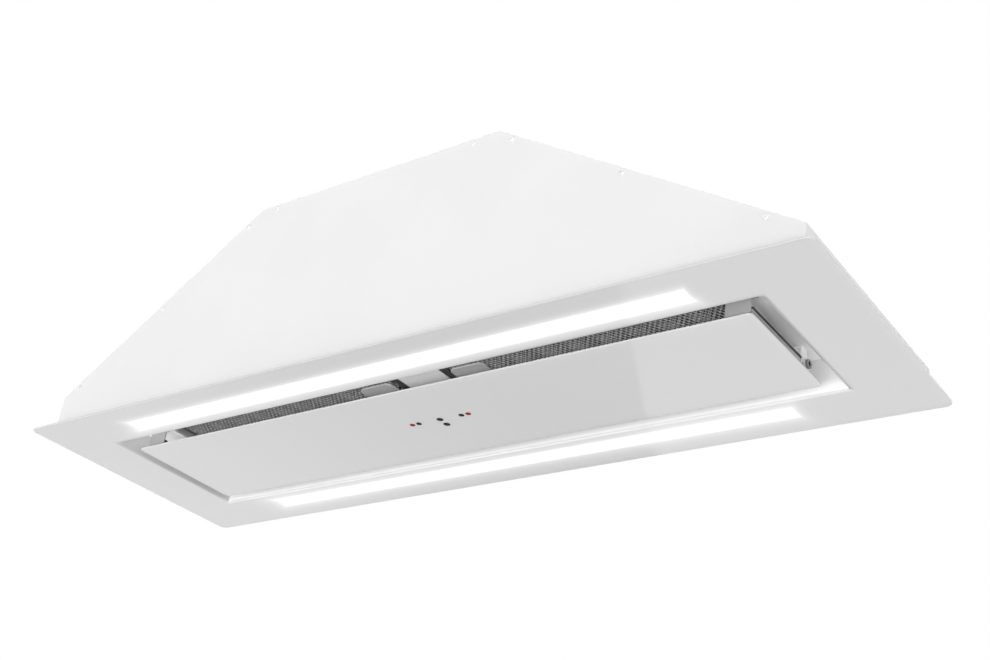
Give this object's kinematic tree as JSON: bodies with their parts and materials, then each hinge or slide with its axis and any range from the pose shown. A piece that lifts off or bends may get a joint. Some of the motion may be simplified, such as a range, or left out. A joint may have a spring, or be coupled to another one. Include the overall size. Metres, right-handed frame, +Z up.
{
  "type": "built-in range hood",
  "caption": "White built-in range hood with a drop-down suction panel, two light strips, two grease filters, a tapered sheet housing, a blower and a round duct collar with flaps.",
  "frame": {"origin": "centre of the seat plane, where the hood's frame rests against the underside of the cabinet", "axes": "+X along the hood's length (to the right for a person in front of it), +Y away from the room towards the wall, +Z up into the cabinet"},
  "size_m": [0.89, 0.292, 0.2599],
  "materials": {
    "white_enamel": "smooth satin white powder coat",
    "gloss_enamel": "glossy white enamel on steel, with a faint orange peel",
    "galvanised": "galvanised sheet with a faint spangle",
    "steel": "plain turned or brushed steel",
    "grey_steel": "light grey coated steel, satin",
    "aluminium_mesh": "expanded aluminium mesh in layers",
    "aluminium_frame": "folded aluminium frame, satin",
    "grey_plastic": "moulded grey plastic",
    "black_plastic": "moulded black plastic, fine texture",
    "opal_diffuser": "opal plastic, lit from behind",
    "lamp_board": "white lacquered circuit board",
    "foam_seal": "closed-cell foam strip",
    "dark_print": "flat dark print",
    "red_print": "flat red print",
    "magnet": "sintered magnet, dark grey",
    "motor_case": "grey coated motor casing"
  },
  "bodies": {
    "hood": {"frame_plate": "gloss_enamel", "sealing_strip": "foam_seal", "base_plate": "galvanised", "recess_front_wall": "white_enamel", "recess_rear_wall": "white_enamel", "recess_left_wall": "white_enamel", "recess_right_wall": "white_enamel", "filter_deck": "white_enamel", "hinge_trough": "white_enamel", "front_panel": "white_enamel", "rear_panel": "white_enamel", "left_end_wall": "white_enamel", "right_end_wall": "white_enamel", "left_slope_panel": "white_enamel", "right_slope_panel": "white_enamel", "top_panel": "white_enamel", "corner_angles": "galvanised", "housing_screws": "white_enamel", "front_light_channel": "aluminium_frame", "rear_light_channel": "aluminium_frame", "front_lamp_board": "lamp_board", "rear_lamp_board": "lamp_board", "front_diffuser": "opal_diffuser", "rear_diffuser": "opal_diffuser", "left_hinge_bracket": "white_enamel", "right_hinge_bracket": "white_enamel", "hinge_pins": "steel", "catch_posts": "grey_steel", "catch_magnets": "magnet", "left_filter_frame": "aluminium_frame", "right_filter_frame": "aluminium_frame", "left_filter_mesh": "aluminium_mesh", "right_filter_mesh": "aluminium_mesh", "blower_band": "galvanised", "blower_front_side": "galvanised", "blower_rear_side": "galvanised", "inlet_rings": "grey_plastic", "blower_hangers": "galvanised", "motor": "motor_case", "motor_bearings": "steel", "motor_bracket": "galvanised", "duct_collar": "grey_plastic", "flap_pin": "steel", "control_box": "galvanised", "run_capacitor": "aluminium_frame", "lamp_driver": "black_plastic", "cable_gland": "black_plastic"},
    "panel": {"suction_panel": "gloss_enamel", "panel_backing": "grey_steel", "left_arm": "grey_steel", "right_arm": "grey_steel", "touch_control": "black_plastic", "dark_touch_marks": "dark_print", "red_touch_marks": "red_print"},
    "left_latch": {"left_latch": "grey_plastic"},
    "right_latch": {"right_latch": "grey_plastic"},
    "rotor": {"impeller": "black_plastic", "motor_shaft": "steel"},
    "left_flap": {"left_flap": "grey_plastic"},
    "right_flap": {"right_flap": "grey_plastic"}
  },
  "joints": [
    {"name": "panel_drop", "type": "hinge", "parent": "hood", "child": "panel", "pos_m": [0, 0.046, 0.007], "axis": [1, 0, 0], "range_deg": [0, 90]},
    {"name": "left_latch_slide", "type": "slide", "parent": "hood", "child": "left_latch", "axis": [-1, 0, 0], "range_m": [0, 0.006], "stiffness_N_per_m": 200},
    {"name": "right_latch_slide", "type": "slide", "parent": "hood", "child": "right_latch", "axis": [1, 0, 0], "range_m": [0, 0.006], "stiffness_N_per_m": 200},
    {"name": "impeller_spin", "type": "hinge", "parent": "hood", "child": "rotor", "pos_m": [-0.04431, 0, 0.12753], "axis": [0, 1, 0], "continuous": true},
    {"name": "left_flap_swing", "type": "hinge", "parent": "hood", "child": "left_flap", "pos_m": [0, 0, 0.2277], "axis": [0, 1, 0], "range_deg": [0, 80]},
    {"name": "right_flap_swing", "type": "hinge", "parent": "hood", "child": "right_flap", "pos_m": [0, 0, 0.2277], "axis": [0, -1, 0], "range_deg": [0, 80]}
  ]
}
